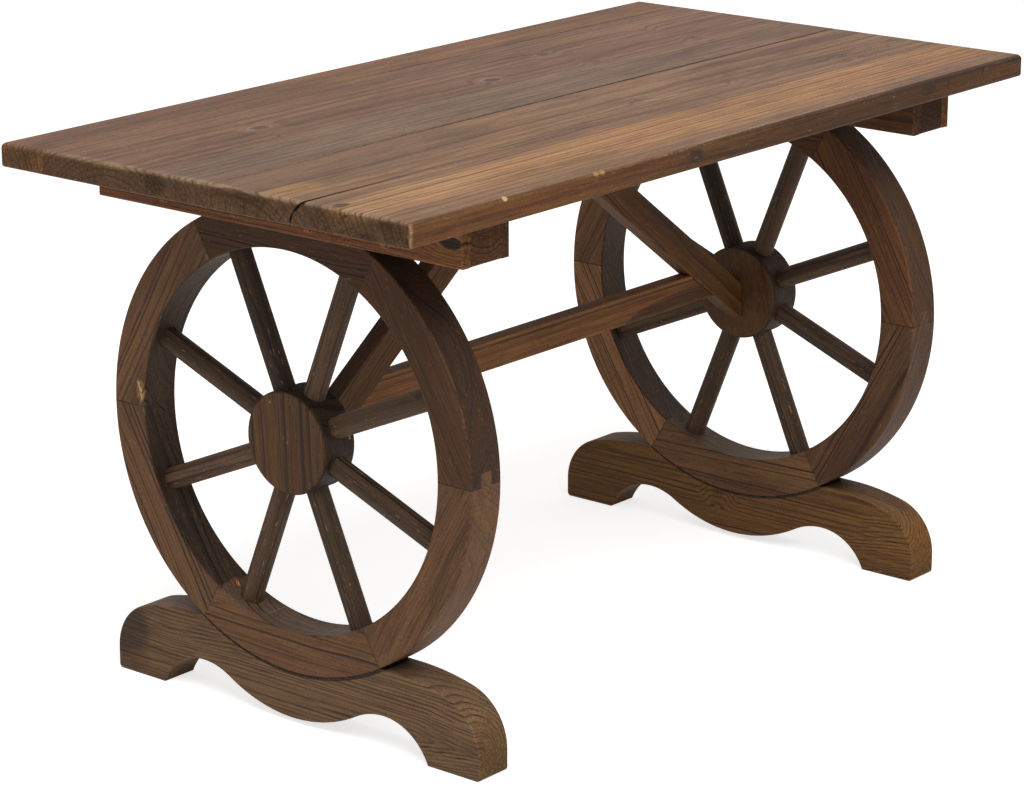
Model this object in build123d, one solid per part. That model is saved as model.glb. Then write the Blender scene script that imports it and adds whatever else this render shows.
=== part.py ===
from build123d import *
import math
import os

# Wagon wheel table. All sizes are in millimetres.
# X runs along the table, Y across it and Z up; the floor is z = 0 and the table is centred on it.
# "left" is the -X end and "front" the -Y side.

# Tabletop: three planks glued edge to edge
TOP_LENGTH = 900.0
TOP_WIDTH = 470.0
TOP_THICKNESS = 21.5
FRONT_PLANK_SHARE = 0.466
MIDDLE_PLANK_SHARE = 0.423
TOP_CORNER_R = 2.5
TOP_EDGE_R = 4.5
TOP_UNDER_R = 2.5
SEAM_GROOVE = 0.9

# Drying check in the left end of the front plank: it rises nearly plumb, then leans over
CHECK_SHARE = 0.277
CHECK_LEANS = (4.0, 11.0)
CHECK_LENGTH = 140.0
CHECK_WIDTH = 2.4

# Stock shared by the rims, hubs, feet and saddle blocks
STOCK = 38.0
END_OVERHANG = 102.0
ARRIS = 1.0

# Wheels
RIM_R = 210.0
RIM_DEPTH = 38.0
FELLOES = 6
TONGUE_ARC = 3.2
TONGUE_SHARE = 1 / 3
HUB_R = 46.5
HUB_EDGE_R = 2.5
SPOKES = 8
SPOKE_R = 10.0
SPOKE_TURN = 0.8
HUB_SOCKET = 18.0
RIM_SOCKET = 18.0
SOCKET_CLEAR = 0.4
SOCKET_WALL = 1.2

# Feet: an ogee profile, the same at both ends of the foot
FOOT_HALF = 217.0
FOOT_CORNER_R = 4.0
PAD_WIDTH = 58.6
ARCH_RUN = 50.2
ARCH_HEIGHT = 33.0
BELLY_LIFT = 4.5
BELLY_SHARE = 0.705
CREST_HEIGHT = 76.0
CREST_FLAT = 14.5
TOE_R = 50.0
TOE_DROP = 6.0
CRADLE_HEIGHT = 48.0

# Battens: two boards and a saddle block that hold the rim under the top
BATTEN_LENGTH = 421.0
BATTEN_DEPTH = 38.0
BOARD_THICKNESS = 11.0
SADDLE_CROWN = 18.5

# Braces from the hubs up to the middle of the top, and the stretcher between them
BRACE_THICKNESS = 18.0
BRACE_DEPTH = 30.0
BRACE_BACK = 3.0
BRACE_FOOT_DROP = 7.5
BRACE_HEAD_DROP = 8.8
STRETCHER_THICKNESS = 15.0
STRETCHER_DEPTH = 28.5
STRETCHER_RISE = 21.0

# Levels and stations that follow from the sizes above
HUB_Z = CRADLE_HEIGHT + RIM_R
UNDERSIDE_Z = HUB_Z + RIM_R + SADDLE_CROWN
WHEEL_X = TOP_LENGTH / 2 - END_OVERHANG - STOCK / 2
INNER_FACE_X = WHEEL_X - STOCK / 2
SPOKE_ANGLES = [(k + 0.5) * 360 / SPOKES + SPOKE_TURN for k in range(SPOKES)]
HUB_SOCKET_FLOOR = max(
    HUB_R - HUB_SOCKET,
    (SPOKE_R + SOCKET_CLEAR + SOCKET_WALL) / math.tan(math.pi / SPOKES),
)
RIM_SOCKET_FLOOR = RIM_R - RIM_DEPTH + RIM_SOCKET


def arc(centre, radius, start, end):
    """Arc about a centre from one angle to another, in degrees."""
    points = []
    for angle in (start, (start + end) / 2, end):
        a = math.radians(angle)
        points.append((centre[0] + radius * math.cos(a), centre[1] + radius * math.sin(a)))
    return ThreePointArc(*points)


def slab(x0, x1, y0, y1, z0, z1):
    """Rectangular block between two corners."""
    return Pos(x0, y0, z0) * Box(x1 - x0, y1 - y0, z1 - z0, align=(Align.MIN,) * 3)


def ease_sides(solid, axis):
    """Break the arrises round the two faces that are square to an axis."""
    faces = solid.faces().filter_by(axis).sort_by(axis)
    edges = faces[0].edges() + faces[-1].edges()
    return chamfer(edges, ARRIS)


def make_planks():
    """The tabletop with its rounded edges, cut along its seams into planks."""
    half_l = TOP_LENGTH / 2
    half_w = TOP_WIDTH / 2
    top_z = UNDERSIDE_Z + TOP_THICKNESS
    top = slab(-half_l, half_l, -half_w, half_w, UNDERSIDE_Z, top_z)
    top = fillet(top.edges().filter_by(Axis.Z), TOP_CORNER_R)
    top = fillet(top.faces().sort_by(Axis.Z)[-1].edges(), TOP_EDGE_R)
    top = fillet(top.faces().sort_by(Axis.Z)[0].edges(), TOP_UNDER_R)

    seam_1 = -half_w + FRONT_PLANK_SHARE * TOP_WIDTH
    seam_2 = seam_1 + MIDDLE_PLANK_SHARE * TOP_WIDTH
    for seam in (seam_1, seam_2):
        groove = Polygon(
            (seam - SEAM_GROOVE, top_z), (seam + SEAM_GROOVE, top_z), (seam, top_z - SEAM_GROOVE),
            align=None,
        )
        top -= extrude(Plane.YZ * groove, half_l, both=True)

    check_y = -half_w + CHECK_SHARE * TOP_WIDTH
    wedge = Polygon(
        (-half_l - 1, -CHECK_WIDTH / 2), (-half_l + CHECK_LENGTH, 0), (-half_l - 1, CHECK_WIDTH / 2),
        align=None,
    )
    rise = TOP_THICKNESS / len(CHECK_LEANS)
    splits = []
    for number, lean in enumerate(CHECK_LEANS):
        foot = Pos(0, check_y - sum(CHECK_LEANS[:number]), UNDERSIDE_Z + number * rise)
        splits.append(
            extrude(foot * wedge, amount=math.hypot(rise, lean), dir=(0, -lean, rise))
        )

    cuts = {
        "plank_front": (-half_w, seam_1),
        "plank_middle": (seam_1, seam_2),
        "plank_rear": (seam_2, half_w),
    }
    planks = {}
    for name, (y0, y1) in cuts.items():
        planks[name] = top & slab(-half_l, half_l, y0, y1, UNDERSIDE_Z, top_z)
    for split in splits:
        planks["plank_front"] -= split
    return planks


def rod(radius, start, end, angle):
    """Radial cylinder in the plane of a wheel."""
    length = end - start
    along = Plane(origin=(start, 0, 0), z_dir=(1, 0, 0))
    cylinder = Cylinder(radius, length, align=(Align.CENTER, Align.CENTER, Align.MIN))
    return Rot(0, 0, angle) * (along * cylinder)


def ring_profile(inner, outer, width, arris):
    """Cross-section of a rim, radius across and width up, with its corners eased."""
    half = width / 2
    if not arris:
        return Polygon((inner, -half), (outer, -half), (outer, half), (inner, half), align=None)
    return Polygon(
        (inner + arris, -half), (outer - arris, -half),
        (outer, -half + arris), (outer, half - arris),
        (outer - arris, half), (inner + arris, half),
        (inner, half - arris), (inner, -half + arris),
        align=None,
    )


def make_felloe():
    """One curved length of rim: a tongue on its leading end, a slot for the next one's tongue."""
    inner = RIM_R - RIM_DEPTH
    step = 360 / FELLOES
    body = revolve(Plane.XZ * ring_profile(inner, RIM_R, STOCK, ARRIS), Axis.Z, step)
    tongue = revolve(
        Plane.XZ * ring_profile(inner, RIM_R, STOCK * TONGUE_SHARE, 0), Axis.Z, TONGUE_ARC
    )
    return body - tongue + Rot(0, 0, step) * tongue


def hub_profile():
    """Half cross-section of a hub, radius across and width up, its edges worn down in two steps."""
    half = STOCK / 2
    inset = HUB_EDGE_R * (1 - math.sqrt(0.5))
    return Polygon(
        (0, -half), (HUB_R - HUB_EDGE_R, -half), (HUB_R - inset, -half + inset),
        (HUB_R, -half + HUB_EDGE_R), (HUB_R, half - HUB_EDGE_R), (HUB_R - inset, half - inset),
        (HUB_R - HUB_EDGE_R, half), (0, half),
        align=None,
    )


def make_wheel():
    """Pieces of one wheel, lying on the origin with its axle along Z."""
    pieces = {}
    hub = revolve(Plane.XZ * hub_profile(), Axis.Z)
    rim_sockets = []
    for number, angle in enumerate(SPOKE_ANGLES, 1):
        hub -= rod(SPOKE_R + SOCKET_CLEAR, HUB_SOCKET_FLOOR, HUB_R + STOCK, angle)
        rim_sockets.append(rod(SPOKE_R + SOCKET_CLEAR, HUB_R + STOCK, RIM_SOCKET_FLOOR, angle))
        pieces[f"spoke_{number}"] = rod(SPOKE_R, HUB_SOCKET_FLOOR, RIM_SOCKET_FLOOR, angle)
    pieces["hub"] = hub
    felloe = make_felloe()
    for number in range(FELLOES):
        piece = Rot(0, 0, number * 360 / FELLOES) * felloe
        for socket in rim_sockets:
            piece -= socket
        pieces[f"felloe_{number + 1}"] = piece
    return pieces


def make_foot():
    """Foot that cradles the rim, standing on the middle plane with its length along Y."""
    pad_inner = FOOT_HALF - PAD_WIDTH
    arch_y = pad_inner - ARCH_RUN
    rise = ARCH_HEIGHT - BELLY_LIFT
    swing = math.degrees(2 * math.atan(rise / arch_y))
    radii = arch_y / math.sin(math.radians(swing))
    belly_r = radii * BELLY_SHARE
    shoulder_r = radii - belly_r
    arch_r = (ARCH_RUN**2 + ARCH_HEIGHT**2) / (2 * ARCH_HEIGHT)
    arch_end = math.degrees(math.asin((ARCH_HEIGHT - arch_r) / -arch_r))

    cradle_half = math.sqrt(RIM_R**2 - (HUB_Z - CREST_HEIGHT) ** 2)
    cradle_end = math.degrees(math.atan2(HUB_Z - CREST_HEIGHT, cradle_half))
    crest_y = cradle_half + CREST_FLAT
    toe_y = FOOT_HALF - TOE_R
    toe_z = CREST_HEIGHT - TOE_R - TOE_DROP
    run = toe_y - crest_y
    drop = TOE_R + TOE_DROP
    crest_r = (run**2 + drop**2 - TOE_R**2) / (2 * TOE_DROP)
    toe_end = math.degrees(math.atan2(crest_r - drop, run))
    corner = FOOT_CORNER_R

    half = [
        arc((0, BELLY_LIFT + belly_r), belly_r, -90, -90 + swing),
        arc((arch_y, ARCH_HEIGHT - shoulder_r), shoulder_r, 90 + swing, 90),
        arc((arch_y, ARCH_HEIGHT - arch_r), arch_r, 90, arch_end),
        Line((pad_inner, 0), (FOOT_HALF - corner, 0)),
        arc((FOOT_HALF - corner, corner), corner, -90, 0),
        Line((FOOT_HALF, corner), (FOOT_HALF, toe_z)),
        arc((toe_y, toe_z), TOE_R, 0, toe_end),
        arc((crest_y, CREST_HEIGHT - crest_r), crest_r, toe_end, 90),
        Line((crest_y, CREST_HEIGHT), (cradle_half, CREST_HEIGHT)),
        arc((0, HUB_Z), RIM_R, -cradle_end, -90),
    ]
    outline = half + [mirror(edge, Plane.YZ) for edge in half]
    profile = make_face(Curve() + outline)
    foot = extrude(Plane.YZ * profile, STOCK / 2, both=True)
    return ease_sides(foot, Axis.X)


def make_battens():
    """Outer board, saddle block and inner board of the left end, in their places."""
    half = BATTEN_LENGTH / 2
    low = UNDERSIDE_Z - BATTEN_DEPTH
    outer_x = -WHEEL_X - STOCK / 2
    inner_x = -WHEEL_X + STOCK / 2
    outer = slab(outer_x - BOARD_THICKNESS, outer_x, -half, half, low, UNDERSIDE_Z)
    inner = slab(inner_x, inner_x + BOARD_THICKNESS, -half, half, low, UNDERSIDE_Z)
    block = slab(outer_x, inner_x, -half, half, low, UNDERSIDE_Z)
    block -= Pos(-WHEEL_X, 0, HUB_Z) * Rot(0, 90, 0) * Cylinder(RIM_R, 2 * STOCK)
    return {
        "outer_board": ease_sides(outer, Axis.X),
        "saddle_block": ease_sides(block, Axis.Y),
        "inner_board": ease_sides(inner, Axis.X),
    }


def make_braces():
    """Left and right brace and the stretcher mitred between them."""
    foot_z = HUB_Z - BRACE_FOOT_DROP
    head_z = UNDERSIDE_Z - BRACE_HEAD_DROP
    slope = (head_z - foot_z) / INNER_FACE_X
    half_plumb = BRACE_DEPTH / 2 * math.hypot(1, slope)
    seat = (head_z + half_plumb - UNDERSIDE_Z) / slope
    outline = Polygon(
        (-INNER_FACE_X, foot_z - half_plumb),
        (0, head_z - half_plumb),
        (0, UNDERSIDE_Z),
        (-seat, UNDERSIDE_Z),
        (-INNER_FACE_X, foot_z + half_plumb),
        align=None,
    )
    brace = extrude(Plane.XZ * outline, BRACE_THICKNESS / 2, both=True)
    brace = Pos(0, BRACE_BACK, 0) * ease_sides(brace, Axis.Y)

    low = HUB_Z + STRETCHER_RISE - STRETCHER_DEPTH / 2
    high = low + STRETCHER_DEPTH
    reach = [(head_z - half_plumb - z) / slope for z in (low, high)]
    outline = Polygon(
        (-reach[0], low), (reach[0], low), (reach[1], high), (-reach[1], high), align=None
    )
    stretcher = extrude(Plane.XZ * outline, STRETCHER_THICKNESS / 2, both=True)
    stretcher = Pos(0, BRACE_BACK, 0) * ease_sides(stretcher, Axis.Y)
    return {
        "left_brace": brace,
        "right_brace": mirror(brace, Plane.YZ),
        "stretcher": stretcher,
    }


def main():
    parts = make_planks()
    wheel = make_wheel()
    foot = make_foot()
    for side, x in (("left", -WHEEL_X), ("right", WHEEL_X)):
        upright = Plane(origin=(x, 0, HUB_Z), x_dir=(0, -1, 0), z_dir=(-1, 0, 0))
        for name, piece in wheel.items():
            parts[f"{side}_{name}"] = upright * piece
        parts[f"{side}_foot"] = Pos(x, 0, 0) * foot
    for name, piece in make_battens().items():
        parts[f"left_{name}"] = piece
        parts[f"right_{name}"] = mirror(piece, Plane.YZ)
    parts.update(make_braces())

    os.makedirs("parts", exist_ok=True)
    for name, piece in parts.items():
        export_step(piece, f"parts/{name}.step")


main()
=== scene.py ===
import math
import random

import bmesh
import bpy
from bpy.props import FloatProperty, FloatVectorProperty, PointerProperty
from mathutils import Matrix, Vector


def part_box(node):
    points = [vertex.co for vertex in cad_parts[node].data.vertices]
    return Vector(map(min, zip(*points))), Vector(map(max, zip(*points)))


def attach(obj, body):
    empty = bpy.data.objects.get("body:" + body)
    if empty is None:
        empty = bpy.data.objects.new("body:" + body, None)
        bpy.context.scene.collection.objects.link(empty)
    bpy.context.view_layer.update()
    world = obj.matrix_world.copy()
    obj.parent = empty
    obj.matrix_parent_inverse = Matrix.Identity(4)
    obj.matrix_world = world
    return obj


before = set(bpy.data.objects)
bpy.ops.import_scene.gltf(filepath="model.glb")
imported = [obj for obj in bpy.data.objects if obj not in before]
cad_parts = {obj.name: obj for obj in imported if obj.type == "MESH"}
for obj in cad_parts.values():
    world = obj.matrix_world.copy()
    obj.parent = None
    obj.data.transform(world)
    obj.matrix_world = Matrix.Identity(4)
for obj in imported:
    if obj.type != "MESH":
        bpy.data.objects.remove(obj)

bl_info = {
    "name": "Wagon Wheel Table",
    "version": (1, 0, 0),
    "blender": (4, 5, 0),
    "location": "3D View > Sidebar > Wheel Table",
    "description": "Finishes a wagon wheel table in scorched and stained fir",
    "category": "Object",
}

MM = 0.001
DARK = "#1d130c"

# The Mix node's sockets for colours: how much of the upper one shows, and both of them. Paint
# covers what is under it, and glaze tints it
SHARE, UNDER, OVER = 0, 6, 7
PAINT = {"data_type": "RGBA"}
GLAZE = {"data_type": "RGBA", "blend_type": "MULTIPLY"}

# A radius in mm that takes a mark right through the piece it is on
THROUGH = 900
# A patch thinner than this, in mm, has its outline broken up by pores and not by clouds
SMALL_PATCH = 12
# How far apart in a log the pieces of two seeds were cut, in metres
LOG_STEP = 0.37
# Just under half the thickness of the tongues in the felloe joints
HALF_TONGUE = 6.4 * MM
FELLOES, SPOKES, NAILS = 6, 8, 4
# Radii of the middle of a rim's face and of its inner side, in mm
RIM_MIDDLE, RIM_INSIDE = 190, 173
NAIL_SIDES = 18
# Cross-sections along a splinter
STATIONS = 5

# Where the parts of the table stand, read off the frame
RIM_LOW, RIM_HIGH = Vector(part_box("left_felloe_5")[0]), Vector(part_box("left_felloe_2")[1])
FACE_X = -RIM_LOW.x
WHEEL_X = -(RIM_LOW.x + RIM_HIGH.x) / 2
HUB_Z = (RIM_LOW.z + RIM_HIGH.z) / 2
RIM_R = (RIM_HIGH.z - RIM_LOW.z) / 2
TOP_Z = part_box("plank_front")[1][2]
BOARD_X = abs(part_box("left_outer_board")[0][0])
SIDES = {"left": -WHEEL_X, "right": WHEEL_X}


def linear(code):
    """A hex colour as the linear numbers that the shaders work in."""
    channels = [int(code[i : i + 2], 16) / 255 for i in (1, 3, 5)]
    return tuple(c / 12.92 if c <= 0.04045 else ((c + 0.055) / 1.055) ** 2.4 for c in channels)


def colour_prop(name, description, code):
    return FloatVectorProperty(
        name=name, description=description, subtype="COLOR", size=3, min=0, max=1, default=linear(code)
    )


def length_prop(name, description, default):
    return FloatProperty(
        name=name, description=description, subtype="DISTANCE", unit="LENGTH", default=default
    )


class StainSettings(bpy.types.PropertyGroup):
    """Colours of the stained fir, each as the spring wood between its dark lines takes it.
    The upper rims' colour also holds painted shade.
    """

    top_front: colour_prop("Front plank", "Stain of the tabletop's front plank", "#a07b60")
    top_middle: colour_prop("Middle plank", "Stain of the tabletop's middle plank", "#96725b")
    top_rear: colour_prop("Rear plank", "Stain of the tabletop's rear plank", "#a17656")
    boards: colour_prop("Outer boards", "Stain of the boards outside the wheels", "#9d653e")
    blocks: colour_prop("Saddle blocks", "Stain of the blocks over the wheels", "#855a3a")
    rims: colour_prop("Rims", "Stain of the lower felloes", "#845e40")
    # Upper rims: the rim stain darkened as painted shade, for the tabletop's shadow over them
    upper_rims_stain_and_shade: colour_prop("Upper rims", "Stain of the upper felloes", "#654228")
    spokes: colour_prop("Spokes", "Stain of the spokes", "#6a523f")
    hubs: colour_prop("Hubs", "Stain of the hubs", "#6f4d2f")
    left_foot: colour_prop("Left foot", "Stain of the left foot", "#8d6c4e")
    right_foot: colour_prop("Right foot", "Stain of the right foot", "#886036")
    braces: colour_prop("Braces", "Stain of the braces", "#7d532d")
    stretcher: colour_prop("Stretcher", "Stain of the stretcher", "#a06c41")
    summer: colour_prop("Summer wood", "What the scorched hard lines keep of the stain", "#74553f")
    top_summer: colour_prop("Summer wood on top", "The same where the top is rubbed", "#936850")
    scorch: colour_prop("Scorch", "Colour of the places that stayed black longest", "#33251b")
    worn: colour_prop("Worn arris", "Colour where handling has rubbed the stain thin", "#a5815f")
    bare: colour_prop("Bare fir", "Fresh wood where a chip has come away", "#d8bd92")


class GrainSettings(bpy.types.PropertyGroup):
    """Sizes of the grain in the timber."""

    fibre: length_prop("Fibre", "Width of one bundle of fibres, drawn coarse enough to show", 1.2 * MM)
    relief: length_prop("Relief", "How far the hard lines stand proud after brushing", 0.5 * MM)
    wear: length_prop("Wear", "How far the wear reaches in from an arris", 2.2 * MM)


class FixingSettings(bpy.types.PropertyGroup):
    """Nails and damage."""

    nail: length_prop("Nail head", "Diameter of a nail head in the outer boards", 2.6 * MM)
    nail_pitch: length_prop("Nail spacing", "Distance from nail to nail along a board", 85.5 * MM)
    nail_rise: length_prop("Nail height", "Height of the nails over the board's lower edge", 7 * MM)
    chip: length_prop("Splinter", "Length of the longest splinter in a chip", 5 * MM)


class StageSettings(bpy.types.PropertyGroup):
    """Floor, lamps and camera."""

    floor: colour_prop("Floor", "Colour of the floor", "#e2e0dc")
    key_power: FloatProperty(name="Overhead lamp", description="Power of the lamp", default=70.0)
    sky: FloatProperty(name="Room light", description="Strength of the light all round", default=0.42)
    focal: FloatProperty(name="Focal length", description="In mm on a 36 mm wide frame", default=122.89)


def add_node(tree, kind, inputs=None, stops=None, **settings):
    """Add a shader node with its settings.

    Inputs are sockets to link, nodes, whose first output in use is linked, or values. A pair
    is the least and greatest of a range, and a colour has three numbers. Stops fill a ramp.
    """
    made = tree.nodes.new("ShaderNode" + kind)
    for name, value in settings.items():
        setattr(made, name, value)
    for key, value in (inputs or {}).items():
        if isinstance(value, bpy.types.Node):
            value = next(output for output in value.outputs if output.enabled)
        if isinstance(value, bpy.types.NodeSocket):
            tree.links.new(value, made.inputs[key])
        elif isinstance(value, tuple) and len(value) == 2:
            made.inputs[f"{key} Min"].default_value, made.inputs[f"{key} Max"].default_value = value
        elif made.inputs[key].type == "RGBA":
            made.inputs[key].default_value = (*value, 1)
        else:
            made.inputs[key].default_value = value
    if stops:
        ramp = made.color_ramp.elements
        while len(ramp) < len(stops):
            ramp.new(1.0)
        for element, (place, shade) in zip(ramp, stops, strict=True):
            element.position = place
            element.color = (shade, shade, shade, 1) if isinstance(shade, float) else (*shade, 1)
    return made


def new_material(name):
    """An empty material and its node tree."""
    material = bpy.data.materials.new(name)
    material.use_nodes = True
    material.node_tree.nodes.clear()
    return material, material.node_tree


def streaks(tree, where, cells, detail, roughness=0.5, **settings):
    """Noise stretched along the fibres, with as many cells per metre on each axis as cells says."""
    place = add_node(tree, "VectorMath", {0: where, 1: cells}, operation="MULTIPLY")
    return add_node(
        tree, "TexNoise",
        {"Vector": place, "Scale": 1, "Detail": detail, "Roughness": roughness}, **settings,
    )


def ellipsoid(tree, where, centre, radii, tilt=0.0):
    """Distance from a spot's centre, with 1 on its outline. Sizes in mm, tilt about X in degrees."""
    spot = add_node(
        tree, "Mapping",
        {"Vector": where, "Location": Vector(centre) * MM, "Scale": Vector(radii) * MM,
         "Rotation": (math.radians(tilt), 0, 0)},
        vector_type="TEXTURE",
    )
    return add_node(tree, "VectorMath", {0: spot}, operation="LENGTH")


def bend_grain(tree, local, drift):
    """The place in the log once its bends, up to drift mm, are taken out, and the waves in it."""
    bent = local
    # The log's own bends, about 90 mm across and 500 mm long, and small waves in its rings,
    # about 14 mm across and 100 mm long
    for cells, reach in (((2, 11, 11), drift), ((10, 70, 70), drift / 6)):
        waves = streaks(tree, local, cells, 1.5).outputs["Color"]
        waves = add_node(tree, "VectorMath", {0: waves, 1: (0.5, 0.5, 0.5)}, operation="SUBTRACT")
        bent = add_node(
            tree, "VectorMath", {0: waves, 1: (0, reach * MM, reach * MM), 2: bent},
            operation="MULTIPLY_ADD",
        )
    return bent, waves


def nearest_knot(tree, where, knots):
    """Distance from the closest knot, with 1 on its outline, or None where there are none."""
    nearest = None
    for centre, radii in knots:
        distance = ellipsoid(tree, where, centre, radii)
        if nearest:
            distance = add_node(tree, "Math", {0: distance, 1: nearest}, operation="MINIMUM")
        nearest = distance
    return nearest


def count_rings(tree, where, radius, ring, waver, knot, knot_push, swirls):
    """Rings between the pith and each place, with those that knots and swirls add."""
    # Good and poor years, which change about every 15 mm
    years = add_node(tree, "TexNoise", {"W": radius, "Scale": 65, "Detail": 2.0}, noise_dimensions="1D")
    count = add_node(tree, "Math", {0: radius, 1: 1 / (ring * MM)}, operation="MULTIPLY")
    count = add_node(tree, "Math", {0: years, 1: waver, 2: count}, operation="MULTIPLY_ADD")
    if knot:
        # The rings part round a knot and close again after three times its size
        push = add_node(
            tree, "MapRange", {"Value": knot, "From": (3.2, 0.5), "To": (0, knot_push)},
            interpolation_type="SMOOTHERSTEP",
        )
        count = add_node(tree, "Math", {0: count, 1: push}, operation="ADD")
    for centre, radii, rings in swirls:
        distance = ellipsoid(tree, where, centre, radii)
        push = add_node(tree, "MapRange", {"Value": distance, "From": (1.0, 0.0), "To": (0, rings)})
        count = add_node(tree, "Math", {0: count, 1: push}, operation="ADD")
    return count


def add_patches(tree, where, ground, patches, pores, cloud):
    """Lay patches over the stain. Small ones are ragged by the pores and large ones by clouds."""
    for centre, radii, tint, share, ragged, *tilt in patches:
        distance = ellipsoid(tree, where, centre, radii, *tilt)
        outline = add_node(
            tree, "Math",
            {0: pores if min(radii) < SMALL_PATCH else cloud, 1: 1.6 * ragged, 2: distance},
            operation="MULTIPLY_ADD",
        )
        mask = add_node(
            tree, "MapRange",
            {"Value": outline, "From": (1.003 + 1.2 * ragged, 1.0 + 0.4 * ragged), "To": (0, share)},
            interpolation_type="SMOOTHSTEP",
        )
        tint = linear(tint) if isinstance(tint, str) else tint
        ground = add_node(tree, "Mix", {SHARE: mask, UNDER: ground, OVER: tint}, **PAINT)
    return ground


def end_checks(tree, across, radius, facing, checks):
    """Fine checks that run out from the pith on the square cut ends, one in about two degrees."""
    sides = add_node(tree, "SeparateXYZ", {0: across})
    ray = add_node(tree, "Math", {0: sides.outputs["Z"], 1: sides.outputs["Y"]}, operation="ARCTAN2")
    ray = add_node(tree, "CombineXYZ", {"X": ray, "Y": radius})
    ray = streaks(tree, ray, (28, 60, 0), 2.0, noise_dimensions="2D")
    ray = add_node(tree, "MapRange", {"Value": ray, "From": (0.38, 0.31), "To": (0, checks)})
    square = add_node(tree, "MapRange", {"Value": facing, "From": (0.93, 0.99)})
    return add_node(tree, "Math", {0: ray, 1: square}, operation="MULTIPLY")


def joint_lines(tree, where, centre):
    """Thin gaps at the felloe joints of a wheel, on its faces but not over the tongues."""
    spread = add_node(tree, "VectorMath", {0: where, 1: centre}, operation="SUBTRACT")
    parts = add_node(tree, "SeparateXYZ", {0: spread}).outputs
    # Sixths of a turn about the axle, and how near the closest joint is
    turned = add_node(tree, "Math", {0: parts["Z"], 1: parts["Y"]}, operation="ARCTAN2")
    sixth = add_node(tree, "Math", {0: turned, 1: 3 / math.pi}, operation="MULTIPLY")
    away = add_node(tree, "Math", {0: sixth, 1: 0.5}, operation="PINGPONG")
    gap = add_node(tree, "MapRange", {"Value": away, "From": (0.0045, 0.0015), "To": (0, 0.95)})
    # The two joints at axle height have opened more than the others
    level = add_node(tree, "Math", {0: parts["Z"]}, operation="ABSOLUTE")
    level = add_node(tree, "MapRange", {"Value": level, "From": (0.05, 0.02), "To": (0.6, 1.0)})
    gap = add_node(tree, "Math", {0: gap, 1: level}, operation="MULTIPLY")
    deep = add_node(tree, "Math", {0: parts["X"]}, operation="ABSOLUTE")
    cheek = add_node(tree, "Math", {0: deep, 1: HALF_TONGUE}, operation="GREATER_THAN")
    return add_node(tree, "Math", {0: gap, 1: cheek}, operation="MULTIPLY")


def rubbed_arrises(tree, normal, pores, worn):
    """Arrises rubbed pale where hands and cloths pass, broken up by the pores."""
    sizes = bpy.context.scene.wheel_table_grain
    soft_normal = add_node(tree, "Bevel", {"Radius": sizes.wear}, samples=3)
    edge = add_node(tree, "VectorMath", {0: soft_normal, 1: normal}, operation="DOT_PRODUCT")
    edge = add_node(tree, "MapRange", {"Value": edge, "From": (0.995, 0.92)})
    rubbed = add_node(tree, "MapRange", {"Value": pores, "From": (0.46, 0.6), "To": (0, worn)})
    return add_node(tree, "Math", {0: edge, 1: rubbed}, operation="MULTIPLY")


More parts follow.
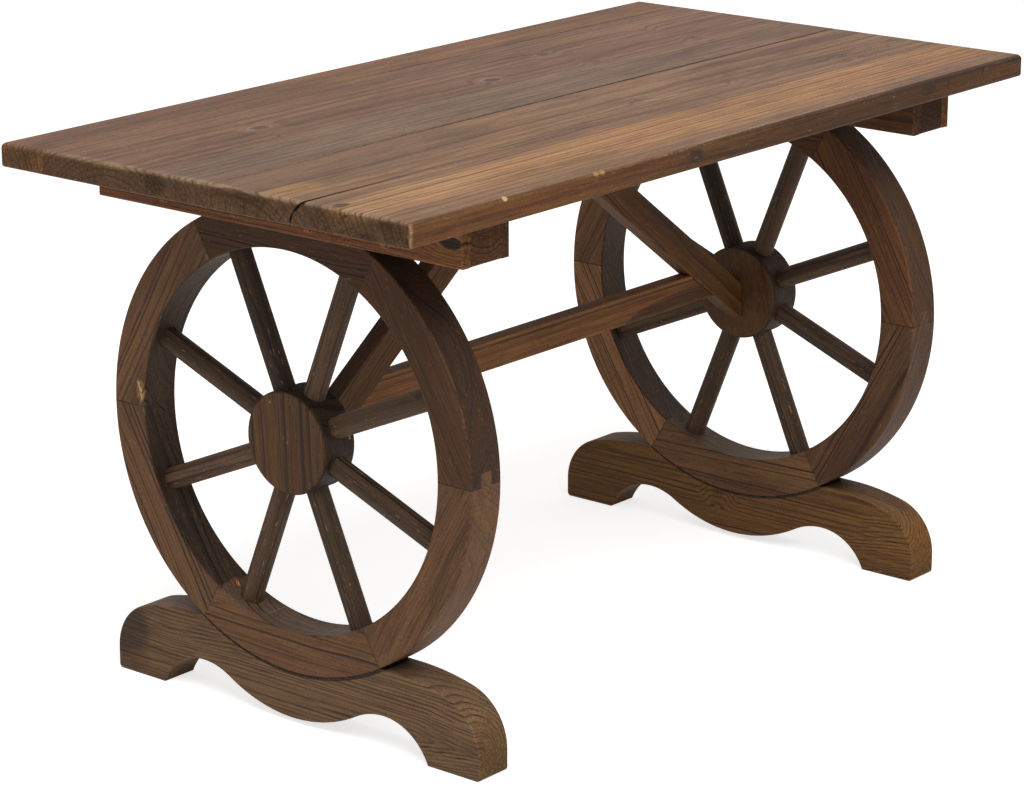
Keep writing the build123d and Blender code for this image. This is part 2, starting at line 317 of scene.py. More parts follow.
def scorched_fir(
    name, stain, grain, pith, ring, seed=0, knots=(), patches=(), swirls=(), drift=12.0,
    contrast=1.0, waver=4.2, flecks=0.25, ends=0.62, checks=0.6, worn=0.3, knot_push=2.2,
    summer=None, joints=None,
):
    """Fir that was scorched, brushed and stained brown, and then oiled thinly.

    The scorching and brushing leave the hard summer wood as thin dark ridges between wider,
    softer and paler spring wood. One solid pattern of growth rings round a pith line runs
    through the whole piece, so long faces show lines and cut ends show arcs.
    grain is the direction of the fibres, pith a point that the pith line goes through and
    ring the growth of one year, in mm. Knots and patches are ellipsoids in the row frame; a
    patch also has its tint, how much of it shows, how ragged its outline is and, if it leans,
    its tilt. Swirls are ellipsoids with the number of rings that the grain adds in them, and
    knot_push is that number for a knot. drift is how far the log bends, in mm, waver how many
    rings good and poor years gain or lose, contrast how dark the lines are and flecks how much
    the torn fibres show. ends is how much of the stain's lightness the cut ends keep, checks
    how dark their cracks are and worn how pale the arrises have gone. summer is the colour of
    the lines, and joints the centre of a wheel whose felloe joints show.
    """
    stains = bpy.context.scene.wheel_table_stain
    sizes = bpy.context.scene.wheel_table_grain
    material, tree = new_material(name)
    grain = Vector(grain).normalized()

    where = add_node(tree, "TexCoord").outputs["Object"]
    local = add_node(
        tree, "Mapping",
        {"Vector": where, "Location": Vector(pith) * MM + grain * seed * LOG_STEP,
         "Rotation": Vector((1, 0, 0)).rotation_difference(grain).to_euler()},
        vector_type="TEXTURE",
    )
    bent, waves = bend_grain(tree, local, drift)
    across = add_node(tree, "VectorMath", {0: bent, 1: (0, 1, 1)}, operation="MULTIPLY")
    radius = add_node(tree, "VectorMath", {0: across}, operation="LENGTH")

    # Clouds in the stain, about 45 mm across and 250 mm long
    cloud = streaks(tree, local, (4, 22, 22), 5.0, 0.62)
    # Fibres, and bands of a few millimetres that drank more or less of the stain
    thread = 1 / sizes.fibre
    fibre = streaks(tree, bent, (thread / 40, thread, thread), 3.0, 0.7)
    band = streaks(tree, bent, (5, 150, 150), 3.0, 0.6)
    # Single pores are too fine to show, so specks of about 2 mm stand for clusters of them
    pores = add_node(tree, "TexNoise", {"Vector": where, "Scale": 420, "Detail": 3.0, "Roughness": 0.7})

    knot = nearest_knot(tree, where, knots)
    count = count_rings(tree, where, radius, ring, waver, knot, knot_push, swirls)
    phase = add_node(tree, "Math", {0: count}, operation="FRACT")
    # Spring wood darkens slowly into summer wood, which ends sharply at the winter
    line = add_node(
        tree, "ValToRGB", {"Fac": phase},
        stops=[(0.0, 0.06), (0.3, 0.0), (0.6, 0.25), (0.78, 0.9), (0.94, 1.0), (1.0, 0.06)],
    )
    # Some years left a strong line and some hardly any
    vigour = add_node(
        tree, "TexNoise", {"W": radius, "Scale": 230, "Detail": 1.0}, noise_dimensions="1D"
    )
    vigour = add_node(tree, "MapRange", {"Value": vigour, "From": (0.32, 0.62), "To": (0.3, contrast)})

    # Stain, with patches: where it took paler, redder or greyer, and some of painted shade,
    # shadow, highlight and sheen; and a little redder or yellower with the waves in the rings
    ground = add_patches(tree, where, stain, patches, pores, cloud)
    redder = add_node(tree, "SeparateXYZ", {0: waves}).outputs["X"]
    redder = add_node(tree, "MapRange", {"Value": redder, "From": (-0.16, 0.16), "To": (0.494, 0.506)})
    ground = add_node(tree, "HueSaturation", {"Hue": redder, "Color": ground})

    # Where the surface cuts across the fibres, the lines are softer
    normal = add_node(tree, "NewGeometry").outputs["Normal"]
    facing = add_node(tree, "VectorMath", {0: normal, 1: grain}, operation="DOT_PRODUCT")
    facing = add_node(tree, "Math", {0: facing}, operation="ABSOLUTE")
    end = add_node(
        tree, "MapRange", {"Value": facing, "From": (0.62, 0.95)}, interpolation_type="SMOOTHSTEP"
    )
    softer = add_node(tree, "MapRange", {"Value": end, "To": (1.0, 0.7)})

    # The lines fade and come back along the piece
    strength = add_node(tree, "MapRange", {"Value": band, "From": (0.35, 0.58), "To": (0.5, 1.0)})
    strength = add_node(tree, "Math", {0: strength, 1: softer}, operation="MULTIPLY")
    strength = add_node(tree, "Math", {0: strength, 1: vigour}, operation="MULTIPLY")
    ridge = add_node(tree, "Math", {0: line, 1: strength}, operation="MULTIPLY")
    surface = add_node(
        tree, "Mix", {SHARE: ridge, UNDER: ground, OVER: summer or stains.summer}, **GLAZE
    )

    # Shades of the fibres, bands, clouds and pores, each with how much of it shows
    along_only = add_node(tree, "MapRange", {"Value": end, "To": (1.0, 0.2)})
    layers = (
        (fibre, along_only, [(0.32, 0.4), (0.47, 0.82), (0.6, 1.0)]),
        (band, 1.0, [(0.34, 0.74), (0.48, 0.92), (0.6, 1.0)]),
        (cloud, 1.0, [(0.36, 1.0), (0.5, 0.88), (0.66, 0.64)]),
        (pores, 1.0, [(0.36, 0.74), (0.5, 0.93), (0.62, 1.0)]),
    )
    for pattern, share, stops in layers:
        shade = add_node(tree, "ValToRGB", {"Fac": pattern}, stops=stops)
        surface = add_node(tree, "Mix", {SHARE: share, UNDER: surface, OVER: shade}, **GLAZE)
    # Places that stayed black, and splinters of bare wood torn up by the brush, 1.5 mm wide and
    # 10 mm long
    smoked = add_node(
        tree, "MapRange", {"Value": cloud, "From": (0.58, 0.78), "To": (0, 0.5)},
        interpolation_type="SMOOTHSTEP",
    )
    torn_up = streaks(tree, local, (95, 650, 650), 1.0)
    torn_up = add_node(tree, "MapRange", {"Value": torn_up, "From": (0.69, 0.75), "To": (0, flecks)})
    for share, tint in ((smoked, stains.scorch), (torn_up, stains.worn)):
        surface = add_node(tree, "Mix", {SHARE: share, UNDER: surface, OVER: tint}, **PAINT)

    if knot:
        uneven = add_node(tree, "Math", {0: fibre, 1: 0.8, 2: knot}, operation="MULTIPLY_ADD")
        heart = add_node(
            tree, "ValToRGB", {"Fac": uneven},
            stops=[(0.0, 0.22), (0.5, 0.35), (0.6, 0.85), (0.82, 0.8), (0.93, 0.42), (1.0, 0.95)],
        )
        mask = add_node(
            tree, "MapRange", {"Value": uneven, "From": (1.5, 1.2), "To": (0, 0.9)},
            interpolation_type="SMOOTHSTEP",
        )
        surface = add_node(tree, "Mix", {SHARE: mask, UNDER: surface, OVER: heart}, **GLAZE)

    # Cut ends drink more stain, and their open pores show as specks
    specks = [(0.36, 0.84 * ends), (0.5, ends), (0.62, min(1.0, 1.2 * ends)),
              (0.68, min(1.0, 1.6 * ends))]
    specks = add_node(
        tree, "ValToRGB", {"Fac": pores},
        stops=[(place, (shade, 0.96 * shade, 0.82 * shade)) for place, shade in specks],
    )
    surface = add_node(tree, "Mix", {SHARE: end, UNDER: surface, OVER: specks}, **GLAZE)

    # Cracks in the ends, open joints and rubbed arrises
    over = [(end_checks(tree, across, radius, facing, checks), linear(DARK))]
    if joints:
        over.append((joint_lines(tree, where, joints), linear(DARK)))
    over.append((rubbed_arrises(tree, normal, pores, worn), stains.worn))
    for share, tint in over:
        surface = add_node(tree, "Mix", {SHARE: share, UNDER: surface, OVER: tint}, **PAINT)

    # Brushing takes the spring wood down, and the fibres stay as fine ribs
    height = add_node(tree, "Math", {0: fibre, 1: along_only}, operation="MULTIPLY")
    height = add_node(tree, "Math", {0: height, 1: 1.1, 2: ridge}, operation="MULTIPLY_ADD")
    torn = add_node(tree, "Math", {0: end, 1: pores}, operation="MULTIPLY")
    height = add_node(tree, "Math", {0: torn, 1: 3.0, 2: height}, operation="MULTIPLY_ADD")
    relief = add_node(tree, "Bump", {"Height": height, "Distance": sizes.relief, "Strength": 0.9})

    # Thin oil: satin on the hard lines, drier on the open spring wood and on cut ends
    sheen = add_node(tree, "MapRange", {"Value": ridge, "To": (0.68, 0.52)})
    sheen = add_node(tree, "Math", {0: end, 1: 0.2, 2: sheen}, operation="MULTIPLY_ADD", use_clamp=True)
    shader = add_node(
        tree, "BsdfPrincipled",
        {"Base Color": surface, "Roughness": sheen, "Normal": relief, "IOR": 1.45,
         "Specular IOR Level": 0.22},
    )
    add_node(tree, "OutputMaterial", {"Surface": shader})
    return material


def browned_steel():
    """Mild steel wire nail, left bright and gone brown: a dull grey gleam under thin rust."""
    material, tree = new_material("browned steel nail")
    where = add_node(tree, "TexCoord").outputs["Object"]
    # Rust blooms about 1.5 mm across
    bloom = add_node(tree, "TexNoise", {"Vector": where, "Scale": 650, "Detail": 3.0})
    rust = add_node(tree, "MapRange", {"Value": bloom, "From": (0.38, 0.52)})
    surface = add_node(
        tree, "Mix", {SHARE: rust, UNDER: linear("#4d3d33"), OVER: linear("#3a2115")}, **PAINT
    )
    metal = add_node(tree, "MapRange", {"Value": rust, "To": (1.0, 0.2)})
    rough = add_node(tree, "MapRange", {"Value": rust, "To": (0.35, 0.8)})
    relief = add_node(tree, "Bump", {"Height": bloom, "Distance": 0.2 * MM})
    shader = add_node(
        tree, "BsdfPrincipled",
        {"Base Color": surface, "Metallic": metal, "Roughness": rough, "Normal": relief},
    )
    add_node(tree, "OutputMaterial", {"Surface": shader})
    return material


def bare_fir():
    """Fresh fir torn open after staining: pale, dry and matt, with flakes of stain left on it."""
    stains = bpy.context.scene.wheel_table_stain
    material, tree = new_material("bare torn fir")
    where = add_node(tree, "TexCoord").outputs["Object"]
    # Stain clings in flakes of about 2 mm
    flake = add_node(tree, "TexNoise", {"Vector": where, "Scale": 500, "Detail": 3.0})
    cling = add_node(tree, "MapRange", {"Value": flake, "From": (0.5, 0.62)})
    surface = add_node(tree, "Mix", {SHARE: cling, UNDER: stains.bare, OVER: stains.worn}, **PAINT)
    relief = add_node(tree, "Bump", {"Height": flake, "Distance": 0.3 * MM})
    rough = add_node(tree, "MapRange", {"Value": flake, "To": (0.75, 0.95)})
    shader = add_node(
        tree, "BsdfPrincipled",
        {"Base Color": surface, "Roughness": rough, "Normal": relief, "IOR": 1.45},
    )
    add_node(tree, "OutputMaterial", {"Surface": shader})
    return material


def background_rays(tree):
    """1 where a ray sees the stage or its reflection, and 0 where it lights the object."""
    path = add_node(tree, "LightPath").outputs
    seen = path["Is Camera Ray"]
    for kind in ("Is Glossy Ray", "Is Transmission Ray"):
        seen = add_node(tree, "Math", {0: seen, 1: path[kind]}, operation="MAXIMUM")
    return seen


def make_object(mesh, name, material):
    """Turn a finished bmesh into an object."""
    data = bpy.data.meshes.new(name)
    mesh.to_mesh(data)
    mesh.free()
    data.materials.append(material)
    made = bpy.data.objects.new(name, data)
    bpy.context.collection.objects.link(made)
    return made


def toned(stain, share):
    """A stain that a piece took lighter or darker than its fellows."""
    return tuple(min(1.0, channel * share) for channel in stain)


def box_mm(node):
    """The lowest and the highest corner of a timber, in mm."""
    return [Vector(corner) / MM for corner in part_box(node)]


def dress(node, stain, grain, pith, ring, **looks):
    """Give a timber of the frame a finish of its own."""
    name = f"{node.replace('_', ' ')} scorched fir"
    finish = scorched_fir(name, stain, grain, pith, ring, **looks)
    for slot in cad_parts[node].material_slots:
        slot.material = finish


class WHEELTABLE_OT_planks(bpy.types.Operator):
    """Finish the three planks of the tabletop"""

    bl_idname = "wheel_table.planks"
    bl_label = "Planks"

    def execute(self, context):
        stains = context.scene.wheel_table_stain
        top = TOP_Z / MM
        near_end, front = (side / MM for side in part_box("plank_front")[0][:2])
        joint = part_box("plank_front")[1][1] / MM
        rear_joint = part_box("plank_middle")[1][1] / MM
        seam = ((170, joint, top), (500, 1.7, 5), DARK, 0.95, 0.1)
        rear_seam = ((190, rear_joint, top), (270, 1.1, 4), DARK, 0.8, 0.1)
        # Painted shade inside the open drying check, and the dark hairline it runs on as past its open
        # part
        check_shade_and_hairline = [((x, y, top), (half, 0.8, 4), DARK, 0.8, 0.2)
                 for x, y, half in ((-375, -121, 60), (-275, -118.5, 70), (-160, -113, 70))]
        check_shade_and_hairline += [((-440, -120.5, top), (15, 1.5, 4), DARK, 0.95, 0.1),
                  ((near_end, -114.3, top - 5.4), (150, 1.5, 8), DARK, 0.9, 0.0, 45.7),
                  ((near_end, -106.8, top - 16.1), (150, 1.4, 6), DARK, 0.9, 0.0, 20.4)]
        # Stain rubbed off the rolled arris at the near end in torn specks
        near_marks = [((near_end + 3.2, y, top - 1.2), (4.2, half, 2.8), "#ad9173", 0.85, 1.1)
                      for y, half in ((-190, 34), (-100, 40), (0, 50), (110, 60))]
        near_marks.append(((near_end, -40, top - 21), (2.5, 190, 1.6), "#a98b68", 0.6, 1.5))
        # Dark smudges on the same end
        near_marks += [((near_end, 47, top - 9), (5, 12, 9), "#3d2c20", 0.55, 0.6),
                       ((near_end, 212, top - 11), (6, 24, 9), "#3a2e26", 0.25, 0.6),
                       ((near_end, -215, top - 9), (5, 14, 8), "#43362b", 0.3, 0.6)]
        # Pale collars round three of the knots
        collars = []
        for x, y, size in ((27, 82, 9), (-265, 103, 9), (155, 125, 7)):
            collars += [((x, y, top), (size * 1.5, size, 30), "#b39d89", 0.55, 0.25),
                        ((x, y, top), (size * 1.2, size * 0.75, 30), "#7d6656", 1.0, 0.25)]
        # The front edge: golden at the near end and darker beyond, and its roll darker
        edge = [((0, front, top - 12), (800, 3.0, 9.5), "#6b4320", 0.9, 0.02),
                ((-470, front, top - 11), (370, 4.5, 13), "#7d5029", 0.85, 0.12),
                ((470, front, top - 12), (580, 3.6, 11), "#5d3b1e", 0.8, 0.12),
                ((470, front + 0.9, top - 1.8), (580, 3.4, 2.8), "#4b3021", 0.85, 0.25),
                ((-390, front + 0.9, top - 1.2), (190, 3, 1.6), "#5e422e", 0.6, 0.4)]
        # Dark blots and dents in it, and the fresh wood of its three chips
        marks = [((-78, front, top - 9.5), (11, 3, 5.5), "#35251b", 0.75, 0.6),
                 ((284, front, top - 9), (14, 3, 5), "#35231a", 0.5, 0.6),
                 ((379, front, top - 6), (1.5, 3, 6), DARK, 0.6, 0.6),
                 ((319, front, top - 9), (1.5, 3, 6), DARK, 0.5, 0.6),
                 ((434, front, top - 3.5), (16, 3, 1.2), DARK, 0.7, 0.3)]
        chips = [((-333, front + 1.5, top - 1.5), (3, 3, 2), "#dcc39a", 0.85, 0.7),
                 ((-215, front + 1.2, top - 2), (3.2, 2.4, 2.2), "#d9b070", 0.75, 0.9),
                 ((-207, front + 1.2, top - 2), (3.4, 2.4, 2.2), "#d9b070", 0.8, 0.9)]
        dress(
            "plank_front", stains.top_front, (1, 0, 0), (0, -40, top - 90), 5.6, seed=1,
            knots=[((x, y, top), (long, wide, THROUGH))
                   for x, y, long, wide in ((38, -83, 9, 6), (168, -98, 8, 5), (330, -108, 9, 6))],
            patches=[((-450, -100, top), (400, 300, 12), "#9c7656", 0.7, 0.5),
                     ((-340, -50, top), (210, 46, 12), "#856650", 0.8, 0.4),
                     ((90, -176, top), (650, 37, 9), "#cc9766", 0.72, 0.6),
                     ((-400, -170, top), (110, 30, 9), "#cfa172", 0.5, 0.6),
                     ((-425, -84, top), (34, 17, 8), "#cf9c62", 0.45, 0.9),
                     ((62, -91, top), (26, 2.2, 4), "#c9a584", 0.7, 0.3),
                     *edge, *marks, *near_marks,
                     ((-438, -151, top), (9, 5, 5), "#33271f", 0.8, 0.5),
                     ((near_end, front, top - 11), (2.6, 2.6, 11), "#d0ac80", 0.8, 1.7),
                     *chips, seam, *check_shade_and_hairline],
            drift=7, waver=2.0, ends=0.44, checks=0.55, knot_push=0.8, summer=stains.top_summer,
        )
        dress(
            "plank_middle", stains.top_middle, (1, 0, 0), (0, 100, top - 85), 4.7, seed=2,
            knots=[((x, y, top), (long, wide, THROUGH)) for x, y, long, wide in (
                (-265, 103, 11, 8), (-265, 68, 7, 5), (27, 82, 10, 9), (155, 125, 10, 8),
                (158, 62, 9, 7), (318, 128, 9, 8), (318, 64, 8, 6))],
            patches=[((-450, 100, top), (400, 300, 12), "#926c51", 0.7, 0.5),
                     # Painted reflection: a greyish band of sheen along the middle of the plank
                     ((-60, 20, top), (600, 42, 12), "#8f7864", 0.6, 0.4),
                     ((420, 90, top), (240, 110, 12), "#a57d65", 0.6, 0.4),
                     *collars, *near_marks, seam, rear_seam],
            drift=6, waver=1.6, ends=0.52, checks=0.15, worn=0.55, knot_push=0.8,
            summer=stains.top_summer,
        )
        dress(
            "plank_rear", stains.top_rear, (1, 0, 0), (0, 330, top - 60), 5.2, seed=3,
            patches=[((-270, 185, top), (200, 60, 12), "#83604a", 0.75, 0.4),
                     ((330, 190, top), (260, 60, 12), "#a67a5c", 0.6, 0.4),
                     *near_marks, rear_seam],
            drift=9, waver=2.0, ends=0.72, checks=0.15, worn=0.55, summer=stains.top_summer,
        )
        return {"FINISHED"}


def nail_places(context):
    """Where the nails stand along an outer board, in mm."""
    pitch = context.scene.wheel_table_fixing.nail_pitch / MM
    return [(number - (NAILS - 1) / 2) * pitch for number in range(NAILS)]


class WHEELTABLE_OT_battens(bpy.types.Operator):
    """Finish the boards and saddle blocks that hold the wheels under the top"""

    bl_idname = "wheel_table.battens"
    bl_label = "Battens"

    def execute(self, context):
        stains = context.scene.wheel_table_stain
        for seed, side in enumerate(SIDES, 4):
            low, high = box_mm(f"{side}_outer_board")
            x = (low.x + high.x) / 2
            knots = [((x, -70.3, low.z + 4), (THROUGH, 7, 5))]
            # Paler orange round the nails
            patches = [((x, y + 2, low.z + 7.5), (THROUGH, 5.5, 2.6), "#d08c55", 0.9, 0.3)
                       for y in nail_places(context)]
            if side == "left":
                # The hollow of a loose knot near the -Y end, pale round its rim, and painted shade
                # in the hollow over the knot's own dark wood
                knots.append(((x, -198, low.z + 19), (THROUGH, 15, 8)))
                patches += [((x, -205, low.z + 12), (THROUGH, 26, 22), "#a9713d", 0.6, 0.3),
                            ((x, -198, low.z + 21), (THROUGH, 16.5, 7.4), "#c08a55", 0.7, 0.2),
                            ((x, -198, low.z + 21), (THROUGH, 13.2, 5.0), "#33190f", 0.95, 0.15)]
            dress(
                f"{side}_outer_board", stains.boards, (0, 1, 0), (x - 25, 0, low.z - 30), 4.6,
                seed=seed, drift=14, worn=0.5, knots=knots, patches=patches,
            )
            dress(
                f"{side}_inner_board", toned(stains.blocks, 0.75), (0, 1, 0),
                (x + 70, 0, high.z + 20), 4.2, seed=seed + 2,
            )
            # The block, with painted shadow where it sits over the rim
            low, high = box_mm(f"{side}_saddle_block")
            tone, ends = (1.0, 0.62) if side == "left" else (0.8, 0.32)
            reach = RIM_R / MM + 1.6
            dress(
                f"{side}_saddle_block", toned(stains.blocks, tone), (0, 1, 0),
                (low.x + 20, 0, high.z + 4), 3.4, seed=seed + 4, drift=10, contrast=1.5,
                ends=ends, checks=0.3,
                patches=[((SIDES[side] / MM, 0, HUB_Z / MM), (THROUGH, reach, reach), DARK, 0.9,
                          0.0)],
            )
        return {"FINISHED"}


class WHEELTABLE_OT_wheels(bpy.types.Operator):
    """Finish the felloes, spokes and hubs of both wheels"""

    bl_idname = "wheel_table.wheels"
    bl_label = "Wheels"

    # How far in or out of each felloe its pith lay, and how deep behind its outer face
    PITH_OUT = (-95, 40, 95, -70, 60, -110)
    PITH_DEEP = (60, 48, 74, 55, 66, 52)
    # How light each felloe is on its faces, and against them inside the rim and on the tread,
    # left wheel first. Partly painted shade: each first felloe's tread and the left second
    # felloe's faces are darker for the tabletop's shadow
    FELLOE_TONES = ((1.0, 0.75, 1.08, 1.06, 0.97, 0.95), (1.5, 1.0, 1.3, 1.9, 1.16, 0.74))
    INNER_TONES = ((0.72, 1.0, 0.66, 0.52, 1.6, 1.0), (0.34, 1.0, 0.85, 0.44, 2.0, 1.0))
    TREAD_TONES = ((0.48, 1.0, 1.0, 1.0, 1.0, 0.95), (0.61, 1.0, 1.0, 1.0, 1.0, 1.0))
    # How strong the lines are, and how far they wander
    FELLOE_LINES = (
        ((1.3, 20), (1.4, 16), (1.8, 10), (1.9, 12), (1.9, 20), (0.6, 22)),
        ((1.4, 14), (1.2, 16), (1.5, 12), (1.7, 14), (1.5, 18), (1.3, 16)),
    )
    SPOKE_TONES = (
        (1.3, 1.25, 0.6, 0.85, 1.35, 1.15, 0.72, 0.82), (1.0, 1.1, 0.55, 0.9, 1.0, 1.1, 0.85, 0.9)
    )

    def execute(self, context):
        stains = context.scene.wheel_table_stain
        # Chipped and rubbed places by the joints and spokes, and two scribed lines
        marks = {
            "left_felloe_2": [
                ((-334, 78, 409), (13, 7, 5), "#93806d", 0.6, 1.0),
            ],
            "left_felloe_3": [
                ((-348, 177.5, 273), (6, 5, 10), "#d9a868", 0.9, 0.5),
                ((-348, 88.5, 412), (5, 4, 6), "#a98a6a", 0.8, 0.6),
            ],
            "left_felloe_4": [
                ((-328, 82, 107), (9, 6, 6), "#b0653a", 0.7, 0.9),
            ],
            "left_felloe_5": [
                ((-330, 38, 90), (15, 0.7, 4), "#a8875f", 0.7, 0.05, 14),
                ((-329, -35, 90), (15, 0.7, 4), "#a8875f", 0.7, 0.05, -12),
            ],
            "left_felloe_6": [
                ((-348, -168, 133), (6, 30, 2.4), "#b28c6a", 0.5, 0.8, -54),
                ((-348, -185, 178), (6, 60, 10), "#5a4030", 0.3, 0.5, -66),
            ],
        }
        for turn, (side, x) in enumerate(SIDES.items()):
            centre = Vector((x, 0, HUB_Z)) / MM
            # All of the wheel but its faces toward -X
            behind = (centre + Vector((6, 0, 0)), (24.6, THROUGH, THROUGH))
            for number in range(FELLOES):
                name = f"{side}_felloe_{number + 1}"
                middle = math.radians((number + 0.5) * 360 / FELLOES)
                outward = Vector((0, -math.cos(middle), math.sin(middle)))
                along = Vector((0, math.sin(middle), math.cos(middle)))
                pick = (number + 2 * turn) % FELLOES
                pith = centre + outward * (RIM_MIDDLE + self.PITH_OUT[pick])
                pith.x += self.PITH_DEEP[pick]
                contrast, drift = self.FELLOE_LINES[turn][number]
                # The two upper felloes take a darker colour: painted shade for the tabletop's shadow
                # over them
                stain = stains.upper_rims_stain_and_shade if number < 2 else stains.rims
                stain = toned(stain, self.FELLOE_TONES[turn][number])
                tread = toned(stain, self.TREAD_TONES[turn][number])
                inner = toned(linear("#594637"), self.INNER_TONES[turn][number])
                dress(
                    name, stain, along, pith, 5.6, seed=8 + number + 7 * turn,
                    joints=centre * MM, contrast=contrast, drift=drift, worn=0.12,
                    patches=[(*behind, tread, 1.0, 0.0),
                             (centre, (THROUGH, RIM_INSIDE, RIM_INSIDE), inner, 0.85, 0.01),
                             *marks.get(name, ())],
                )
            for number in range(1, SPOKES + 1):
                low, high = box_mm(f"{side}_spoke_{number}")
                middle = (low + high) / 2
                dress(
                    f"{side}_spoke_{number}",
                    toned(stains.spokes, self.SPOKE_TONES[turn][number - 1]),
                    (middle - centre).normalized(),
                    middle + Vector((24 - 6 * (number % 4), 9, -7)), 2.6,
                    seed=30 + number + 9 * turn, drift=8, flecks=0.55, worn=0.15, contrast=1.2,
                )
            if side == "left":
                # The mark of the lathe centre, and chips of fresh wood
                along, pith, contrast = (0, 0.05, 1), (60, 150, 0), 1.3
                face = [((-19, 0.8, 3.2), (2, 1.3, 2), "#2e2118", 0.7, 0.4),
                        ((-19, 2.7, 4.6), (2, 1.2, 2.2), "#a98a55", 0.7, 0.5),
                        ((-19, -1.1, 1.2), (2, 1.3, 1.8), "#a98a55", 0.7, 0.5),
                        ((-19, 18.5, 34), (2, 0.9, 1.2), "#c9b09a", 0.8, 0.3),
                        ((-19, 26, 37.5), (2, 1.0, 1.6), "#8a3f2c", 0.7, 0.3)]
                face += [((12, -45.8, z), (1.7, 2, 0.8), "#f0a478", 1.0, 0.2) for z in (6.3, 8.3, 10.6)]
            else:
                along, pith, contrast, face = (0.16, 0.05, 1), (55, 22, 0), 0.8, []
            dress(
                f"{side}_hub", stains.hubs, along, centre + Vector(pith), 8.5, seed=50 + turn,
                # Painted shade: the hub darker everywhere but on its face toward -X
                patches=[(*behind, "#3a2a1d", 0.9, 0.0),
                         *((centre + Vector(place), *rest) for place, *rest in face)],
                contrast=contrast, drift=18, worn=0.1,
            )
        return {"FINISHED"}


class WHEELTABLE_OT_feet(bpy.types.Operator):
    """Finish the two feet"""

    bl_idname = "wheel_table.feet"
    bl_label = "Feet"

    def execute(self, context):
        stains = context.scene.wheel_table_stain
        near, far = -FACE_X / MM, SIDES["right"] / MM
        # Painted shadow where the rim sits in the cradle, widest on the -Y side of the lowest
        # point
        reach = RIM_R / MM + 1.1
        cradle = ((THROUGH, reach, reach), DARK, 0.95, 0.0)
        dress(
            "left_foot", stains.left_foot, (0, 1, 0), (near + 3, 0, 23), 3.2, seed=55,
            swirls=[((near, 150, 50), (90, 80, 34), 2), ((near, -225, -10), (120, 90, 90), 5)],
            patches=[((near, 204, 44), (THROUGH, 26, 30), "#43342a", 0.68, 0.7),
                     ((near, 190, 15), (6, 14, 9), "#7d5239", 0.5, 0.5),
                     ((near, 170, 10), (6, 4, 8), "#8f7440", 0.45, 0.6),
                     ((near, -2, HUB_Z / MM - 0.8), *cradle)],
            drift=6, contrast=1.1, waver=3.0, ends=0.72, checks=0.4,
        )
        # Painted shade: darker everywhere but on the face toward -X
        painted_shade = toned(stains.right_foot, 0.62)
        dress(
            "right_foot", stains.right_foot, (0, 1, 0), (far - 30, 0, 70), 4.0, seed=56,
            knots=[((far - 19, 20, 42), (THROUGH, 9, 7))],
            swirls=[((far - 19, -225, -10), (120, 90, 90), 5)],
            patches=[((far + 6, 20, 0), (24.8, 215, THROUGH), painted_shade, 1.0, 0.0),
                     ((-near, -2, HUB_Z / MM - 0.8), *cradle)],
            drift=11, contrast=1.2, waver=3.4, ends=1.0, checks=0.4,
        )
        return {"FINISHED"}


class WHEELTABLE_OT_braces(bpy.types.Operator):
    """Finish the two braces and the stretcher"""

    bl_idname = "wheel_table.braces"
    bl_label = "Braces and stretcher"

    def execute(self, context):
        stains = context.scene.wheel_table_stain
        for seed, (side, lean, tone) in enumerate((("left", 1, 0.85), ("right", -1, 1.0)), 60):
            low, high = box_mm(f"{side}_brace")
            middle = (low + high) / 2
            dress(
                f"{side}_brace", toned(stains.braces, tone),
                (lean, 0, (high.z - low.z) / (high.x - low.x)),
                (middle.x, middle.y + 40, middle.z - 30 * lean), 3.8, seed=seed, drift=14,
                contrast=1.3,
            )
        low, high = box_mm("stretcher")
        dress(
            "stretcher", stains.stretcher, (1, 0, 0), (0, high.y + 30, low.z - 45), 5.2, seed=62,
            drift=12, contrast=0.45, worn=0.45,
            # Painted highlight along the top of the front face, a thin dark line under it, and a darker
            # stretch low on the front toward +X
            patches=[((0, low.y, high.z - 1.5), (THROUGH, 1.5, 1.6), "#c08a58", 0.6, 0.3),
                     ((0, low.y, high.z - 5), (THROUGH, 2, 0.8), "#4a2f1f", 0.75, 0.1),
                     ((235, low.y, low.z - 3), (115, 3, 20), "#6b4a30", 0.9, 0.08)],
        )
        return {"FINISHED"}


class WHEELTABLE_OT_nails(bpy.types.Operator):
    """Drive the nails through the outer boards"""

    bl_idname = "wheel_table.nails"
    bl_label = "Nails"

    def execute(self, context):
        sizes = context.scene.wheel_table_fixing
        steel = browned_steel()
        radius = sizes.nail / 2
        # The head of a wire nail, a low dome: shares of its radius, and mm over the board
        profile = [(0.5, 0.32), (0.82, 0.2), (1.0, -0.05), (1.0, -0.9)]
        crown_height = 0.34 * MM
        chance = random.Random(4)
        for side, x in SIDES.items():
            out = 1 if x > 0 else -1
            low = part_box(f"{side}_outer_board")[0][2]
            mesh = bmesh.new()
            for y in nail_places(context):
                centre = Vector((out * BOARD_X, y * MM, low + sizes.nail_rise))
                lean = Matrix.Rotation(chance.uniform(-0.12, 0.12), 3, "Y")
                rings = []
                for reach, height in profile:
                    ring = []
                    for step in range(NAIL_SIDES):
                        angle = step * math.tau / NAIL_SIDES
                        spot = Vector((height * MM * out, reach * radius * math.cos(angle),
                                       reach * radius * math.sin(angle)))
                        ring.append(mesh.verts.new(centre + lean @ spot))
                    rings.append(ring)
                crown = mesh.verts.new(centre + Vector((crown_height * out, 0, 0)))
                for step in range(NAIL_SIDES):
                    after = (step + 1) % NAIL_SIDES
                    mesh.faces.new((crown, rings[0][step], rings[0][after]))
                    for inner, outer in zip(rings, rings[1:]):
                        mesh.faces.new((inner[step], outer[step], outer[after], inner[after]))
                mesh.faces.new(rings[-1])
            bmesh.ops.recalc_face_normals(mesh, faces=mesh.faces)
            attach(make_object(mesh, f"{side}_board_nails", steel), "root")
        return {"FINISHED"}


